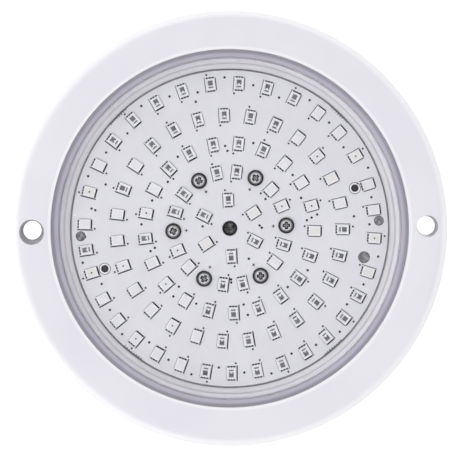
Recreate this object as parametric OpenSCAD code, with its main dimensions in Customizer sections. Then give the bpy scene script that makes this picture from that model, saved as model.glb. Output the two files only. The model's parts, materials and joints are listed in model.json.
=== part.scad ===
// Underwater pool light: a round lamp with a slim flange that screws to the pool wall.
// The cup behind the flange sits in a niche, and a clear cover closes it in front.
// Frame: +Z points out of the wall, through the clear cover. z = 0 is the flange's back
// face, which lies on the wall, and the origin is midway between the two mounting screws.

/* [Flange] */
// Outside diameter of the flange
flange_d = 130; // [129:0.5:140]
// Thickness of the flange, the cup's half and the face ring together
flange_t = 9; // [8.8:0.2:10]
// Radius of the rounding on the flange's front edge
flange_round = 3; // [1:0.5:4]
// Distance between the centres of the two mounting holes
ear_spacing = 118; // [117:0.5:119]
// Diameter of a mounting hole at the wall
ear_hole_d = 5.6; // [4.5:0.1:5.6]
// Diameter of a mounting hole at the front face
ear_mouth_d = 7.7; // [6:0.1:7.8]

/* [Cup] */
// Outside diameter of the cup that goes into the niche
cup_d = 99.2; // [99.2:0.1:100.4]
// Depth of the cup behind the wall face
cup_depth = 26; // [26:0.5:50]
// Thickness of the cup's side wall
cup_wall = 3; // [2.5:0.1:3]
// Thickness of the cup's floor
cup_floor = 2.6; // [2:0.1:2.8]

/* [Clear cover] */
// Outside diameter of the cover's rim
cover_d = 106.6; // [106.4:0.05:106.9]
// Thickness of the cover's rim
cover_rim = 2; // [1.8:0.05:2]
// Thickness of the cover's front window
window_t = 2.5; // [2:0.1:2.5]

/* [LED board] */
// Diameter of the LED board
board_d = 95.5; // [95:0.1:96]
// Angle that the board is turned in the cup, counter-clockwise from the +X screw
board_turn = 2.2; // [0:0.1:6]
// Number of LEDs on the evenly filled rings: the first, the third and the fourth
even_ring_leds = [6, 21, 27];
// Radius of each of the five rings of LEDs, from the middle outwards
ring_radii = [8.5, 17, 25.5, 34, 43.6];
// Length of an LED, measured along the board's radius
led_l = 3.5; // [3:0.1:3.5]
// Width of an LED
led_w = 2.8; // [2:0.1:2.8]
// Height of an LED
led_h = 0.7; // [0.5:0.1:0.7]

/* [Cable gland] */
// Diameter of the gland's thread
gland_thread_d = 12; // [10:0.5:12]
// Width across the flats of the gland's hexagons
gland_flats = 15; // [14:0.5:15.5]
// Diameter of the cable that the seal grips
cable_d = 6.2; // [5:0.1:6.6]

/* [Hidden] */
$fn = 96;
eps = 0.01;
gap = 0.1;

// Flange
flange_r = flange_d / 2;
ear_x = ear_spacing / 2;
split_z = 4.5;             // where the face ring meets the cup's half of the flange
ring_bore_r = 53.5;
ring_bevel = 0.5;

// Cup
cup_r = cup_d / 2;
cup_bottom = -cup_depth;
cup_inner_r = cup_r - cup_wall;
cup_floor_z = cup_bottom + cup_floor;
cup_bevel = 1.5;
foot_r = 38;               // the cup stands on the ring outside this radius
foot_h = 0.6;
lip_r = 51.1;              // the lip stands between the cup and the clear cover
lip_groove_r = 49.5;
lip_groove = 0.5;
seat_r = 55.5;             // outside of the channel that holds the gasket
seat_z = 1.5;
gasket_t = 1.5;

// Stack on the cup's ledge, from the bottom up
ledge_z = -3.1;
boss_top = ledge_z - 0.05;  // the bosses end just under the ledge
plate_t = 3;
pad_t = 0.3;
board_t = 1.6;
pad_z = ledge_z + plate_t;
board_z = pad_z + pad_t;
board_top = board_z + board_t;
lip_top = board_top + 0.2;
plate_r = board_d / 2 + 0.35;
stack_bore_r = plate_r + 0.2;

// Clear cover
cover_top = flange_t + 0.3;
cover_r = cover_d / 2;
cover_inner_r = cover_r - cover_rim;
cover_foot = seat_z + gasket_t;
cover_foot_r = seat_r - 0.2;
window_z = cover_top - window_t;
cover_bevel = 0.5;

// Clamp screws, from the back of the flange into the face ring
clamp_count = 8;
clamp_turn = 22.5;
clamp_r = 59;
clamp_head = [2.75, 1.5];  // radius and height
clamp_shank_r = 1.5;
clamp_well = 1.7;
clamp_tip_z = 7;

// Holes through the board, as [radius, angle] from the board's centre
screw_ring_r = ring_radii[1];
screw_count = 6;
screw_r = 1.25;
screw_head = [2.4, 1.5];   // radius and height
centre_hole_r = 2.2;
plug_head = [3.4, 0.6];    // radius and height, under the heat spreader
plug_top = board_top - 0.9;
lead_hole_r = 1.08;
lead_places = [[39.5, 17.1], [39.5, 197.2]];
pin_r = 1.5;
pin_depth = 5.5;           // how deep a pin sits in its boss
pin_bevel = 0.3;
pin_places = [[44.9, 2.2], [44.9, 182.3]];
tool_hole_r = 1.8;
tool_hole_place = [41.3, 347.1];
// Rows of small holes where the board was snapped out of its panel
snap_angles = [45.3, 134.3, 231.3, 310.3];
snap_holes = 8;
snap_hole_r = 0.35;
snap_step = 1.05;

// Driver
driver_r = 38;
driver_t = 1.6;
standoff_h = 4;
standoff_r = 33;
standoff_post_r = 3;
standoff_angles = [90, 210, 330];
driver_z = cup_floor_z + standoff_h;
driver_top = driver_z + driver_t;
driver_screw_r = 1;
driver_head = [2.1, 1.3];  // radius and height
lead_r = 0.8;
lead_pad_r = 34;

// Gland, on an axis that points along -Y
gland_z = -13.5;
gland_face = 52;           // outer flat on the cup
gland_inner_face = 45;     // inner flat in the cup
gland_pad_w = 19;
gland_pad_top = -2.5;      // clear of the wall plate behind the flange
gland_bore_r = cable_d / 2 + 0.2;
gland_thread_r = gland_thread_d / 2;
gland_body_l = 4;
gland_nut_l = 8;
gland_spigot_l = 4;
gland_spigot_r = gland_thread_r - 0.4;
gland_seal_r = gland_thread_r - 1.3;
o_ring_t = 1.1;
locknut_l = 3.5;

// Places of the LEDs in each ring, as angles in the board's own frame
function evenly(count, first) = [for (i = [0 : count - 1]) first + i * 360 / count];
// The second ring shares its circle with the six screws: two LEDs follow each screw
ring_2_angles = [for (k = [0 : screw_count - 1], s = [20, 40]) k * 60 + s];
// The outer ring has two even runs, and three LEDs in each gap between them,
// where the lead holes and the locating pins need room
ring_5_upper = [for (i = [0 : 12]) 26.9 + i * 11.3];
ring_5_lower = [for (i = [0 : 13]) 206.2 + i * 10.25];
ring_5_gaps = [4.3, 14.6, 175.4, 185.6, 194.9, 353.1];
ring_angles = [
    evenly(even_ring_leds[0], 29.9),
    ring_2_angles,
    evenly(even_ring_leds[1], 12.4),
    evenly(even_ring_leds[2], 9.85),
    concat(ring_5_upper, ring_5_lower, ring_5_gaps)
];

// Moves its children to a place given as [radius, angle]
module at_polar(place) {
    rotate([0, 0, place[1]]) translate([place[0], 0, 0]) children();
}

// Repeats its children evenly round a circle
module around(count, r, first = 0) {
    for (i = [0 : count - 1]) at_polar([r, first + i * 360 / count]) children();
}

// Turns its children so that +Z points along the gland, out of the cup
module on_gland(depth) {
    translate([0, -depth, gland_z]) rotate([90, 0, 0]) children();
}

// A straight pipe, drawn as a tube with its bore cut through
module tube(r, bore, h) {
    difference() {
        cylinder(r = r, h = h);
        translate([0, 0, -eps]) cylinder(r = bore, h = h + 2 * eps);
    }
}

// A cross recess, cut down from z = 0
module cross_recess(width, depth) {
    for (a = [0, 90]) rotate([0, 0, a])
        translate([-width / 2, -width / 7, -depth]) cube([width, width * 2 / 7, depth + 1]);
    translate([0, 0, -depth]) cylinder(d = width * 0.55, h = depth + 1);
}

// A washer-head screw: its head stands on z = 0 and its shank hangs below
module washer_screw(head, shank_r, length) {
    washer = head[1] * 0.5;
    difference() {
        union() {
            cylinder(r1 = head[0], r2 = head[0] * 0.88, h = washer);
            translate([0, 0, washer])
                cylinder(r1 = head[0] * 0.74, r2 = head[0] * 0.66, h = head[1] - washer);
        }
        translate([0, 0, head[1]]) cross_recess(head[0] * 0.9, head[1] * 0.6);
    }
    translate([0, 0, -length]) cylinder(r = shank_r, h = length);
}

// A wire of round section through a list of points, with round elbows
module wire(points, r) {
    for (i = [0 : len(points) - 2]) {
        step = points[i + 1] - points[i];
        length = norm(step);
        translate(points[i])
            rotate([0, acos(step[2] / length), atan2(step[1], step[0])])
                cylinder(r = r, h = length, $fn = 32);
        if (i > 0) translate(points[i]) sphere(r = r, $fn = 32);
    }
}

// Holes that pass through the board and the parts under it
module stack_holes(screw_hole_r, lead_r, pin_hole_r) {
    translate([0, 0, -40]) {
        cylinder(r = centre_hole_r, h = 60);
        around(screw_count, screw_ring_r, board_turn) cylinder(r = screw_hole_r, h = 60);
        for (p = lead_places) at_polar(p) cylinder(r = lead_r, h = 60);
        for (p = pin_places) at_polar(p) cylinder(r = pin_hole_r, h = 60);
    }
}

// Front half of the flange, with a rounded edge and flared mounting holes
module face_ring() {
    color("whitesmoke") difference() {
        rotate_extrude($fn = 180) {
            translate([ring_bore_r, split_z])
                square([flange_r - flange_round - ring_bore_r, flange_t - split_z - ring_bevel]);
            translate([ring_bore_r, split_z])
                square([flange_r - ring_bore_r, flange_t - split_z - flange_round]);
            translate([ring_bore_r + ring_bevel, split_z])
                square([flange_r - flange_round - ring_bore_r - ring_bevel, flange_t - split_z]);
            polygon([[ring_bore_r, flange_t - ring_bevel - 1], [ring_bore_r + 1, flange_t - ring_bevel - 1],
                     [ring_bore_r + 1, flange_t], [ring_bore_r + ring_bevel, flange_t],
                     [ring_bore_r, flange_t - ring_bevel]]);
            intersection() {
                translate([flange_r - flange_round, flange_t - flange_round])
                    circle(r = flange_round, $fn = 96);
                translate([flange_r - flange_round - 1, flange_t - flange_round - 1])
                    square([flange_round + 2, flange_round + 2]);
            }
        }
        around(2, ear_x) {
            translate([0, 0, split_z - 1]) cylinder(d = ear_hole_d, h = flange_t);
            translate([0, 0, split_z + 0.5])
                cylinder(d1 = ear_hole_d, d2 = ear_mouth_d, h = flange_t - split_z - 0.5);
            translate([0, 0, flange_t - eps]) cylinder(d = ear_mouth_d, h = 1);
        }
        around(clamp_count, clamp_r, clamp_turn)
            translate([0, 0, split_z - 1]) cylinder(r = clamp_shank_r, h = clamp_tip_z - split_z + 1);
    }
}

// The cup and the rear half of the flange, moulded as one piece
module rear_cup() {
    color("gainsboro") difference() {
        union() {
            rotate_extrude($fn = 180) cup_profile();
            gland_pads();
            for (p = pin_places) at_polar(p) pin_boss();
            for (a = standoff_angles) at_polar([standoff_r, a])
                translate([0, 0, cup_floor_z - eps]) cylinder(r = standoff_post_r, h = standoff_h + eps);
        }
        around(2, ear_x) translate([0, 0, -1]) cylinder(d = ear_hole_d, h = split_z + 2);
        around(clamp_count, clamp_r, clamp_turn) {
            translate([0, 0, -1]) cylinder(r = clamp_shank_r + gap, h = split_z + 2);
            translate([0, 0, -1]) cylinder(r = clamp_head[0] + 0.3, h = clamp_well + 1);
        }
        for (p = pin_places) at_polar(p)
            translate([0, 0, ledge_z - pin_depth - gap]) cylinder(r = pin_r, h = pin_depth + 1);
        for (a = standoff_angles) at_polar([standoff_r, a])
            translate([0, 0, cup_floor_z + 0.5]) cylinder(r = driver_screw_r, h = standoff_h);
        on_gland(gland_inner_face - 3) cylinder(r = gland_thread_r + gap, h = 12);
    }
}

// Half section of the cup: floor, wall, ledge, lip, gasket channel and flange
module cup_profile() {
    difference() {
        polygon([
            [0, cup_bottom + foot_h], [foot_r - foot_h, cup_bottom + foot_h], [foot_r, cup_bottom],
            [cup_r - cup_bevel, cup_bottom], [cup_r, cup_bottom + cup_bevel],
            [cup_r, 0], [flange_r, 0], [flange_r, split_z], [seat_r, split_z],
            [seat_r, seat_z], [lip_r, seat_z], [lip_r, lip_top], [stack_bore_r, lip_top],
            [stack_bore_r, ledge_z], [cup_inner_r, ledge_z], [cup_inner_r, cup_floor_z],
            [0, cup_floor_z]
        ]);
        translate([lip_groove_r - lip_groove / 2, lip_top - lip_groove])
            square([lip_groove, 2 * lip_groove]);
    }
}

// Boss inside the cup's wall that takes a locating pin
module pin_boss() {
    boss_r = 3.2;
    web_w = 5.6;
    h = boss_top - cup_floor_z + eps;
    translate([0, 0, cup_floor_z - eps]) cylinder(r = boss_r, h = h);
    translate([0, -web_w / 2, cup_floor_z - eps])
        cube([cup_r - 1 - pin_places[0][0], web_w, h]);
}

// Flats on the outside and the inside of the cup's wall, where the gland clamps
module gland_pads() {
    wall_y = cup_r - 0.85 * cup_wall;
    outer_bottom = cup_bottom + cup_bevel;
    translate([-gland_pad_w / 2, -gland_face, outer_bottom])
        cube([gland_pad_w, gland_face - wall_y, gland_pad_top - outer_bottom]);
    translate([-gland_pad_w / 2, -wall_y, cup_floor_z - eps])
        cube([gland_pad_w, wall_y - gland_inner_face, boss_top - cup_floor_z + eps]);
}

// Clear cap: a flat window, a rim, and a foot that the face ring clamps
module lens_cover() {
    color("lightcyan", 0.35) rotate_extrude($fn = 180) polygon([
        [0, window_z], [cover_inner_r - 0.6, window_z], [cover_inner_r, window_z - 0.6],
        [cover_inner_r, cover_foot], [cover_foot_r, cover_foot], [cover_foot_r, split_z],
        [cover_r, split_z], [cover_r, cover_top - cover_bevel],
        [cover_r - cover_bevel, cover_top], [0, cover_top]
    ]);
}

// Flat silicone ring under the cover's foot
module lens_gasket() {
    color("lavender") translate([0, 0, seat_z])
        rotate_extrude($fn = 180) translate([lip_r + 0.2, 0])
            square([cover_foot_r - lip_r - 0.2, gasket_t]);
}

// Screws that pull the face ring down onto the cup
module clamp_screws() {
    color("silver") around(clamp_count, clamp_r, clamp_turn)
        translate([0, 0, clamp_well]) rotate([180, 0, 0])
            washer_screw(clamp_head, clamp_shank_r, clamp_tip_z - clamp_well - gap);
}

// Round board, white on top, with its holes and the snapped edges
module led_board() {
    color("white") difference() {
        translate([0, 0, board_z]) cylinder(d = board_d, h = board_t, $fn = 180);
        stack_holes(screw_r + gap, lead_hole_r, pin_r);
        at_polar(tool_hole_place) cylinder(r = tool_hole_r, h = 4);
        for (a = snap_angles, i = [0 : snap_holes - 1])
            at_polar([board_d / 2 - 0.1, a + (i - (snap_holes - 1) / 2) * snap_step])
                translate([0, 0, -2]) cylinder(r = snap_hole_r, h = 6, $fn = 24);
    }
}

// One LED: a moulded body with a pocket for the die
module led() {
    pocket = [led_l - 0.8, led_w - 0.7, 0.3];
    difference() {
        translate([-led_l / 2, -led_w / 2, 0]) cube([led_l, led_w, led_h]);
        translate([-pocket[0] / 2, -pocket[1] / 2, led_h - pocket[2]]) cube(pocket);
    }
}

// One ring of LEDs, counted from 0 in the middle
module leds_ring(ring) {
    color("ivory") for (a = ring_angles[ring])
        at_polar([ring_radii[ring], board_turn + a]) translate([0, 0, board_top]) led();
}

module leds_ring_1() { leds_ring(0); }
module leds_ring_2() { leds_ring(1); }
module leds_ring_3() { leds_ring(2); }
module leds_ring_4() { leds_ring(3); }
module leds_ring_5() { leds_ring(4); }

// Screws that hold the board down on the heat spreader
module board_screws() {
    color("lightgray") around(screw_count, screw_ring_r, board_turn)
        translate([0, 0, board_top]) washer_screw(screw_head, screw_r, board_top - ledge_z - gap);
}

// Pins that stop the stack from turning in the cup
module locating_pins() {
    straight = pin_depth + board_top - ledge_z - gap;
    color("gray") for (p = pin_places) at_polar(p) translate([0, 0, ledge_z - pin_depth]) {
        cylinder(r = pin_r, h = straight);
        translate([0, 0, straight]) cylinder(r1 = pin_r, r2 = pin_r - pin_bevel, h = pin_bevel);
    }
}

// Rubber plug that closes the stack's centre hole from below
module centre_plug() {
    color("black") translate([0, 0, ledge_z - plug_head[1]]) {
        cylinder(r = plug_head[0], h = plug_head[1]);
        cylinder(r = centre_hole_r - 0.05, h = plug_top - ledge_z + plug_head[1]);
    }
}

// Heat-conducting sheet between the board and the spreader
module thermal_pad() {
    color("darkgray") difference() {
        translate([0, 0, pad_z]) cylinder(r = plate_r - 1.2, h = pad_t, $fn = 180);
        stack_holes(screw_r + 0.4, lead_hole_r + 0.3, pin_r + 0.3);
    }
}

// Aluminium disc that carries the board and rests on the cup's ledge
module heat_spreader() {
    color("lightsteelblue") difference() {
        translate([0, 0, ledge_z]) cylinder(r = plate_r, h = plate_t, $fn = 180);
        stack_holes(screw_r, lead_hole_r + 0.3, pin_r);
    }
}

// Insulated wire from the driver up into the board's lead hole
module lead(place) {
    at_polar([0, place[1]]) wire([
        [place[0], 0, board_top - 0.6],
        [place[0], 0, ledge_z - 5],
        [lead_pad_r, 0, ledge_z - 10],
        [lead_pad_r, 0, driver_top]
    ], lead_r);
}

module positive_lead() { color("firebrick") lead(lead_places[0]); }
module negative_lead() { color("black") lead(lead_places[1]); }

// Solder fillets where the leads meet the driver board
module lead_solder() {
    color("silver") for (p = lead_places) at_polar([lead_pad_r, p[1]])
        translate([0, 0, driver_top]) difference() {
            cylinder(r1 = 1.9, r2 = 1.1, h = 0.9);
            translate([0, 0, -eps]) cylinder(r = lead_r, h = 1, $fn = 32);
        }
}

// Round circuit board on the cup's standoffs
module driver_board() {
    color("darkgreen") difference() {
        translate([0, 0, driver_z]) cylinder(r = driver_r, h = driver_t, $fn = 180);
        for (a = standoff_angles) at_polar([standoff_r, a])
            translate([0, 0, driver_z - 1]) cylinder(r = driver_screw_r + gap, h = driver_t + 2);
    }
}

module driver_screws() {
    color("silver") for (a = standoff_angles) at_polar([standoff_r, a])
        translate([0, 0, driver_top]) washer_screw(driver_head, driver_screw_r, standoff_h + driver_t - 0.8);
}

// Puts a component down on the driver board
module on_driver(x, y, turn = 0) {
    translate([x, y, driver_top]) rotate([0, 0, turn]) children();
}

// Bridge rectifier: a flat upright body on four legs
module bridge_rectifier() {
    color("black") on_driver(-20, -12, 90) {
        difference() {
            translate([-7.2, -1.8, 1]) cube([14.4, 3.6, 8.4]);
            translate([-7.2 - eps, -1.8 - eps, 8.4]) rotate([0, 45, 0]) cube([2, 5, 2], center = true);
        }
        for (x = [-5.4, -1.8, 1.8, 5.4]) translate([x, 0, 0]) cylinder(r = 0.45, h = 1 + eps, $fn = 24);
    }
}

// Electrolytic capacitor: a can with a pressed groove and a bevelled top
module capacitor_can(r, h) {
    rotate_extrude($fn = 64) polygon([
        [0, 0], [r - 0.3, 0], [r, 0.3], [r, 1.2], [r - 0.4, 1.6], [r, 2],
        [r, h - 0.5], [r - 0.5, h], [r - 1, h], [r - 1.2, h - 0.2], [0, h - 0.2]
    ]);
}

module smoothing_capacitor() { color("midnightblue") on_driver(18, -12) capacitor_can(5, 9.6); }
module output_capacitor() { color("midnightblue") on_driver(-6, 24) capacitor_can(3.15, 7.6); }

// Ferrite bobbin of the power inductor
module inductor_core() {
    color("dimgray") on_driver(14, 16) rotate_extrude($fn = 64) polygon([
        [0, 0], [5.5, 0], [5.5, 1.4], [2.6, 1.4], [2.6, 6.6], [5.5, 6.6], [5.5, 8], [0, 8]
    ]);
}

// Copper winding on the bobbin, one ridge per turn
module inductor_winding() {
    turns = 8;
    turn_r = 0.3;
    color("chocolate") on_driver(14, 16) translate([0, 0, 1.4 + turn_r + 0.1])
        rotate_extrude($fn = 64) {
            translate([2.6, -turn_r]) square([2.2, 2 * turn_r * turns - turn_r]);
            for (i = [0 : turns - 1]) translate([4.7, i * 2 * turn_r * 0.98]) circle(r = turn_r, $fn = 24);
        }
}

// Chip in a small-outline package, with four leads a side
module driver_chip() {
    color("black") on_driver(-2, 8) {
        translate([-2.45, -1.95, 0.2]) cube([4.9, 3.9, 1.4]);
        for (i = [0 : 3], s = [-1, 1]) translate([-1.905 + i * 1.27 - 0.2, s * 2.5 - 0.6, 0])
            cube([0.4, 1.2, 0.4]);
    }
}

// Surface-mount diode with a tab at each end
module freewheel_diode() {
    color("black") on_driver(2, 17, 90) {
        translate([-2.2, -1.3, 0.15]) cube([4.4, 2.6, 2]);
        for (s = [-1, 1]) translate([s * 2.3 - 0.4, -0.75, 0]) cube([0.8, 1.5, 1]);
    }
}

module sense_resistors() {
    color("dimgray") for (i = [0 : 2])
        on_driver(-14 + i * 4.5, 2, 90) translate([-1.6, -0.8, 0]) cube([3.2, 1.6, 0.6]);
}

// Two-way terminal block that faces the gland
module terminal_block() {
    color("seagreen") on_driver(0, -28) difference() {
        translate([-5.1, -4, 0]) cube([10.2, 8, 9.4]);
        for (x = [-2.5, 2.5]) {
            translate([x, -4 - eps, 3.6]) rotate([-90, 0, 0]) cylinder(r = 1.5, h = 5);
            translate([x, 0.5, 6]) cylinder(r = 1.7, h = 4);
        }
    }
}

module terminal_screws() {
    color("silver") for (x = [-2.5, 2.5]) on_driver(x, -27.5) translate([0, 0, 6]) difference() {
        cylinder(r = 1.6, h = 2.2);
        translate([-2, -0.25, 1.4]) cube([4, 0.5, 1]);
    }
}

// Gland body: hexagon outside, thread through the cup's wall, spigot under the nut
module gland_body() {
    thread_l = gland_face - gland_inner_face + locknut_l + 1;
    color("darkslategray") on_gland(gland_face) difference() {
        union() {
            translate([0, 0, gap]) cylinder(d = gland_flats / cos(30), h = gland_body_l - gap, $fn = 6);
            translate([0, 0, -thread_l]) cylinder(r = gland_thread_r, h = thread_l + 1);
            translate([0, 0, gland_body_l - eps]) cylinder(r = gland_spigot_r, h = gland_spigot_l);
        }
        translate([0, 0, -thread_l - 1]) cylinder(r = gland_bore_r, h = 30);
        // seat for the seal, in the spigot's mouth
        translate([0, 0, gland_body_l - 1]) cylinder(r = gland_seal_r, h = 10);
        // groove for the O-ring, in the hexagon's underside
        translate([0, 0, -1]) tube(gland_thread_r + 1.5, gland_thread_r, 1 + o_ring_t);
    }
}

// O-ring between the gland's hexagon and the cup
module gland_o_ring() {
    color("black") on_gland(gland_face) translate([0, 0, o_ring_t / 2])
        rotate_extrude($fn = 64) translate([gland_thread_r + o_ring_t / 2 + 0.05, 0])
            circle(d = o_ring_t, $fn = 32);
}

// Rubber sleeve that the nut squeezes onto the cable
module gland_seal() {
    color("black") on_gland(gland_face + gland_body_l - 1)
        tube(gland_seal_r, cable_d / 2, gland_spigot_l + 1);
}

// Domed nut with a hexagon skirt
module gland_nut() {
    start = gland_face + gland_body_l + 0.2;
    skirt = gland_nut_l - 3;
    color("darkslategray") on_gland(start) difference() {
        union() {
            cylinder(d = (gland_flats - 1) / cos(30), h = skirt, $fn = 6);
            translate([0, 0, skirt]) rotate_extrude($fn = 96) intersection() {
                translate([gland_flats / 2 - 0.6 - 3, 0]) circle(r = 3, $fn = 64);
                square([gland_flats, 3]);
            }
            translate([0, 0, skirt]) cylinder(r = gland_flats / 2 - 3.6, h = 3);
        }
        translate([0, 0, -1]) cylinder(r = gland_spigot_r, h = gland_spigot_l + 1);
        translate([0, 0, -1]) cylinder(r = gland_bore_r, h = gland_nut_l + 2);
    }
}

// Nut on the thread's inner end
module gland_locknut() {
    color("darkslategray") on_gland(gland_inner_face) translate([0, 0, -locknut_l])
        difference() {
            cylinder(d = gland_flats / cos(30), h = locknut_l, $fn = 6);
            translate([0, 0, -1]) cylinder(r = gland_thread_r, h = locknut_l + 2);
        }
}

face_ring();
rear_cup();
lens_cover();
lens_gasket();
clamp_screws();
led_board();
leds_ring_1();
leds_ring_2();
leds_ring_3();
leds_ring_4();
leds_ring_5();
board_screws();
locating_pins();
centre_plug();
thermal_pad();
heat_spreader();
positive_lead();
negative_lead();
lead_solder();
driver_board();
driver_screws();
bridge_rectifier();
smoothing_capacitor();
output_capacitor();
inductor_core();
inductor_winding();
driver_chip();
freewheel_diode();
sense_resistors();
terminal_block();
terminal_screws();
gland_body();
gland_o_ring();
gland_seal();
gland_nut();
gland_locknut();
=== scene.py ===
"""Looks of the underwater pool light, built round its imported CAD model.

Lengths are written in millimetres and angles in degrees, and are turned into metres and
radians where a mesh is made. +Z points out of the pool wall, towards the camera.
"""

import json
import math

import bmesh
import bpy
from mathutils import Matrix, Vector

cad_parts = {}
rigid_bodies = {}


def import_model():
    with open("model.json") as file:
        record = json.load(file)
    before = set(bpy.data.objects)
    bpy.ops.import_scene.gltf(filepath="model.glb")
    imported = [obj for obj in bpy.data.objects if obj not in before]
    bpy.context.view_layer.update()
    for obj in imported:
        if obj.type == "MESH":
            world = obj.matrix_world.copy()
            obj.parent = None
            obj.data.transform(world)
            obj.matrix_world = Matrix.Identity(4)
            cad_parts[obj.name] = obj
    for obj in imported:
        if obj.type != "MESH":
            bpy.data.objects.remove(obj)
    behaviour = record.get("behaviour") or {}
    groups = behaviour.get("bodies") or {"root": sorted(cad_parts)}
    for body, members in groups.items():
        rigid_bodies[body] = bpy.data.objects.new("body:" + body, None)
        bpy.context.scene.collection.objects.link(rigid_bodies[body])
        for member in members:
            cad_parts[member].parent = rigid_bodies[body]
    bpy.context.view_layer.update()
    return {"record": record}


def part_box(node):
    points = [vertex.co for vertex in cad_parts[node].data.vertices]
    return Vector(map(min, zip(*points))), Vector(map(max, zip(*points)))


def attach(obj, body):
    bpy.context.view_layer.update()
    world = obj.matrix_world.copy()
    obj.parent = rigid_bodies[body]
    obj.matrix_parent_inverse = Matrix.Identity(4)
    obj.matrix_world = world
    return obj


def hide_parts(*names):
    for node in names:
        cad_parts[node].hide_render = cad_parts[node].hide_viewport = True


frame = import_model()

MM = 0.001
TURN = 256  # segments in a full turn of a large lathed piece


# ---------------------------------------------------------------- sizes, in millimetres

def box_mm(node):
    """Lowest and highest corner of a CAD node."""
    low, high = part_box(node)
    return [v / MM for v in low], [v / MM for v in high]


ring_low, ring_high = box_mm("face_ring")
cup_low, _ = box_mm("rear_cup")
lens_low, lens_high = box_mm("lens_cover")
board_low, board_high = box_mm("led_board")

FLANGE_R = ring_high[0]
FLANGE_TOP = ring_high[2]
SPLIT_Z = ring_low[2]
RING_BORE = 53.44
EAR_X = 59.0
EAR_HOLE_R = 2.8
# Countersinks, as (x, y, mouth radius). In the photo each sits a little off its hole
EAR_MOUTHS = [(-59.2, -0.42, 3.73), (58.9, -0.12, 3.25)]
# The holes themselves, also a little off the CAD's places at x = -59 and 59
EAR_HOLES = [(-59.15, 0.2), (58.75, 0.1)]

CUP_R = 49.6
CUP_BOTTOM = cup_low[2]
CUP_INNER_R = 46.6
CUP_FLOOR = CUP_BOTTOM + 2.6
FOOT_R = 38.0
LEDGE_Z = -3.1
STACK_R = 48.3
BEAD_R = 48.0             # a bead at the top of the lip narrows the gap round the board
LIP_R = 51.12
LIP_GROOVE = (49.75, 0.4)  # middle radius and width
SEAT = (55.5, 1.5)        # outer radius and height of the gasket's channel
BOARD_TOP = board_high[2]
LIP_TOP = BOARD_TOP + 0.2
BOARD_R = (board_high[0] - board_low[0]) / 2

COVER_R = 53.3
COVER_INNER_R = 51.32
COVER_FOOT_R = lens_high[0]
COVER_FOOT = lens_low[2]
COVER_TOP = lens_high[2]
WINDOW_Z = COVER_TOP - 2.5

GLAND_Z = -13.5
GLAND_FACE = 52.0

BOARD_TURN = 2.2          # the board's own +X, counter-clockwise from the frame's
CLAMP_SCREWS = [(59.0, 22.5 + 45 * k) for k in range(8)]
BOARD_SCREWS = [(17.0, BOARD_TURN + 60 * k) for k in range(6)]
LEAD_HOLES = [(39.5, 17.1), (39.5, 197.2)]
PINS = [(44.9, 2.2), (44.9, 182.3)]
TOOL_HOLE = (41.3, 347.1)
LED_H = 0.7
INK_H = 0.02
STEEP = 0.6               # a face whose normal's z is below this counts as a wall


# ---------------------------------------------------------------- mesh helpers

def polar(r, deg):
    a = math.radians(deg)
    return Vector((r * math.cos(a), r * math.sin(a), 0))


def finish_mesh(name, bm, smooth_below=35):
    """Make an object from a bmesh that is in millimetres."""
    bmesh.ops.scale(bm, vec=(MM, MM, MM), verts=bm.verts)
    bmesh.ops.recalc_face_normals(bm, faces=bm.faces)
    mesh = bpy.data.meshes.new(name)
    bm.to_mesh(mesh)
    bm.free()
    for poly in mesh.polygons:
        poly.use_smooth = True
    mesh.set_sharp_from_angle(angle=math.radians(smooth_below))
    obj = bpy.data.objects.new(name, mesh)
    bpy.context.scene.collection.objects.link(obj)
    return obj


def rounded(corners, steps=6):
    """Outline through (x, y, radius) corners, each turned into an arc of that radius."""
    out = []
    n = len(corners)
    for i, (x, y, r) in enumerate(corners):
        here = Vector((x, y))
        if r <= 0:
            out.append(here)
            continue
        before = (Vector(corners[i - 1][:2]) - here).normalized()
        after = (Vector(corners[(i + 1) % n][:2]) - here).normalized()
        half = before.angle(after) / 2
        reach = r / math.tan(half)
        centre = here + (before + after).normalized() * (r / math.sin(half))
        start = here + before * reach - centre
        sweep = (math.pi - 2 * half) * (1 if before.cross(after) < 0 else -1)
        for k in range(steps + 1):
            arm = start.copy()
            arm.rotate(Matrix.Rotation(sweep * k / steps, 2))
            out.append(centre + arm)
    return out


def add_lathe(bm, outline, segments=TURN, place=Matrix()):
    """Turn a closed (r, z) outline about Z. Points at r = 0 become a single vertex."""
    rings = []
    for p in outline:
        if p[0] < 1e-6:
            rings.append([bm.verts.new(place @ Vector((0, 0, p[1])))])
            continue
        rings.append([
            bm.verts.new(place @ (polar(p[0], 360 * k / segments) + Vector((0, 0, p[1]))))
            for k in range(segments)
        ])
    for i, ring in enumerate(rings):
        nxt = rings[(i + 1) % len(rings)]
        if len(ring) == 1 and len(nxt) == 1:
            continue
        for k in range(segments):
            j = (k + 1) % segments
            corners = [ring[k % len(ring)], ring[j % len(ring)], nxt[j % len(nxt)], nxt[k % len(nxt)]]
            unique = list(dict.fromkeys(corners))
            if len(unique) > 2:
                bm.faces.new(unique)


def add_ring(bm, inner, outer, low, high, place, segments=48):
    corners = [(inner, low), (outer, low), (outer, high), (inner, high)]
    add_lathe(bm, [Vector(corner) for corner in corners], segments, place)


def lathe(name, outline):
    bm = bmesh.new()
    add_lathe(bm, outline)
    return finish_mesh(name, bm)


def add_loft(bm, rings, segments=96):
    """Solid through level circles, each given as (centre, radius, height)."""
    loops = []
    for (x, y), r, z in rings:
        centre = Vector((x, y, z))
        loops.append([bm.verts.new(centre + polar(r, 360 * k / segments)) for k in range(segments)])
    for lower, upper in zip(loops, loops[1:]):
        for k in range(segments):
            j = (k + 1) % segments
            bm.faces.new([lower[k], lower[j], upper[j], upper[k]])
    bm.faces.new(list(reversed(loops[0])))
    bm.faces.new(loops[-1])


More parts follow.
